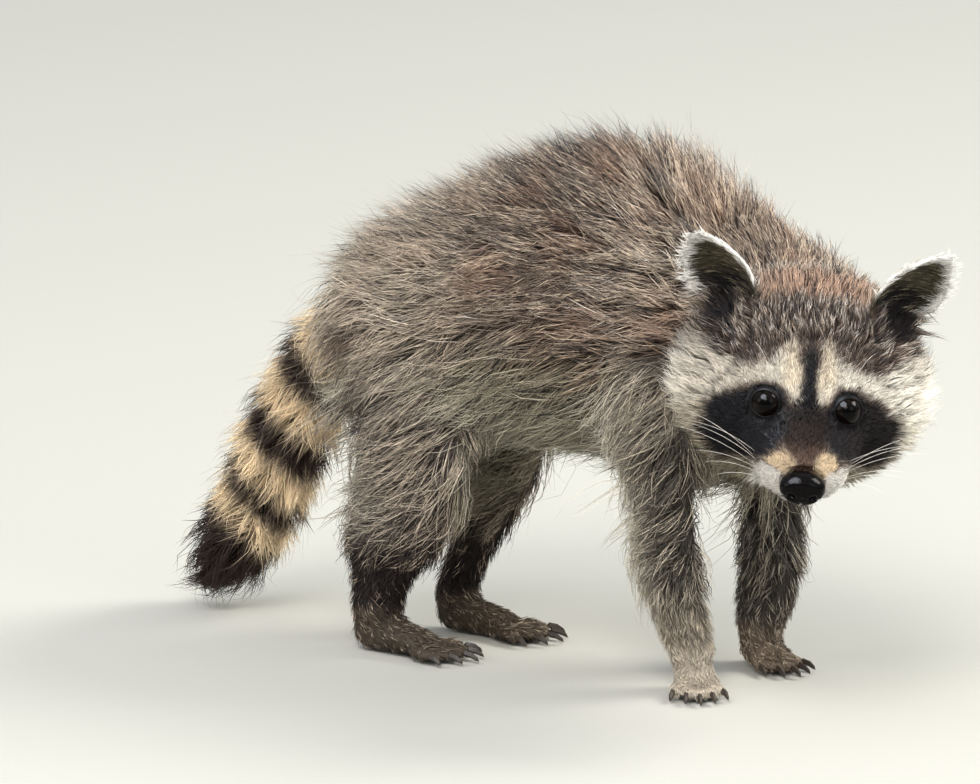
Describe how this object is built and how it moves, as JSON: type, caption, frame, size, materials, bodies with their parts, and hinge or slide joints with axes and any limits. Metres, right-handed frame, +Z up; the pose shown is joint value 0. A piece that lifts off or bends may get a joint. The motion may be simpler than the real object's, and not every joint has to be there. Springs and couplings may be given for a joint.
{
  "type": "raccoon",
  "caption": "Young raccoon standing with an arched back, its lowered, masked head turned to its right, ears pricked and thick ringed tail hanging down to the floor.",
  "frame": {"origin": "on the floor under the middle of the animal's bounding box", "axes": "+X along the trunk towards the shoulders, +Y to the animal's left, +Z up"},
  "size_m": [0.3854, 0.168, 0.225],
  "materials": {
    "body_coat": "long grizzled fur, grey-brown with black and pale buff tips",
    "leg_coat": "dark underfur with pale grey-buff overhair, short on the feet",
    "face_coat": "short fur, black mask, cream brow and cheeks, dark crown and nose bridge",
    "ear_coat": "short fur, dark inside with a white rim",
    "tail_coat": "bushy fur in warm tan and dark brown rings",
    "eye": "wet, near black",
    "nose": "moist, finely pebbled black skin",
    "claw": "smooth dark horn"
  },
  "bodies": {
    "root": {"abdomen": "body_coat", "chest": "body_coat", "claw_fore_left_1": "claw", "claw_fore_left_2": "claw", "claw_fore_left_3": "claw", "claw_fore_left_4": "claw", "claw_fore_left_5": "claw", "claw_fore_right_1": "claw", "claw_fore_right_2": "claw", "claw_fore_right_3": "claw", "claw_fore_right_4": "claw", "claw_fore_right_5": "claw", "claw_hind_left_1": "claw", "claw_hind_left_2": "claw", "claw_hind_left_3": "claw", "claw_hind_left_4": "claw", "claw_hind_left_5": "claw", "claw_hind_right_1": "claw", "claw_hind_right_2": "claw", "claw_hind_right_3": "claw", "claw_hind_right_4": "claw", "claw_hind_right_5": "claw", "ear_left": "ear_coat", "ear_right": "ear_coat", "eye_left": "eye", "eye_right": "eye", "forearm_left": "leg_coat", "forearm_right": "leg_coat", "forefoot_left": "leg_coat", "forefoot_right": "leg_coat", "head": "face_coat", "hindfoot_left": "leg_coat", "hindfoot_right": "leg_coat", "lower_jaw": "face_coat", "neck": "body_coat", "nose": "nose", "shank_left": "leg_coat", "shank_right": "leg_coat", "tail_middle": "tail_coat", "tail_root": "tail_coat", "tail_tip": "tail_coat", "thigh_left": "body_coat", "thigh_right": "body_coat", "upper_arm_left": "body_coat", "upper_arm_right": "body_coat"}
  },
  "joints": []
}
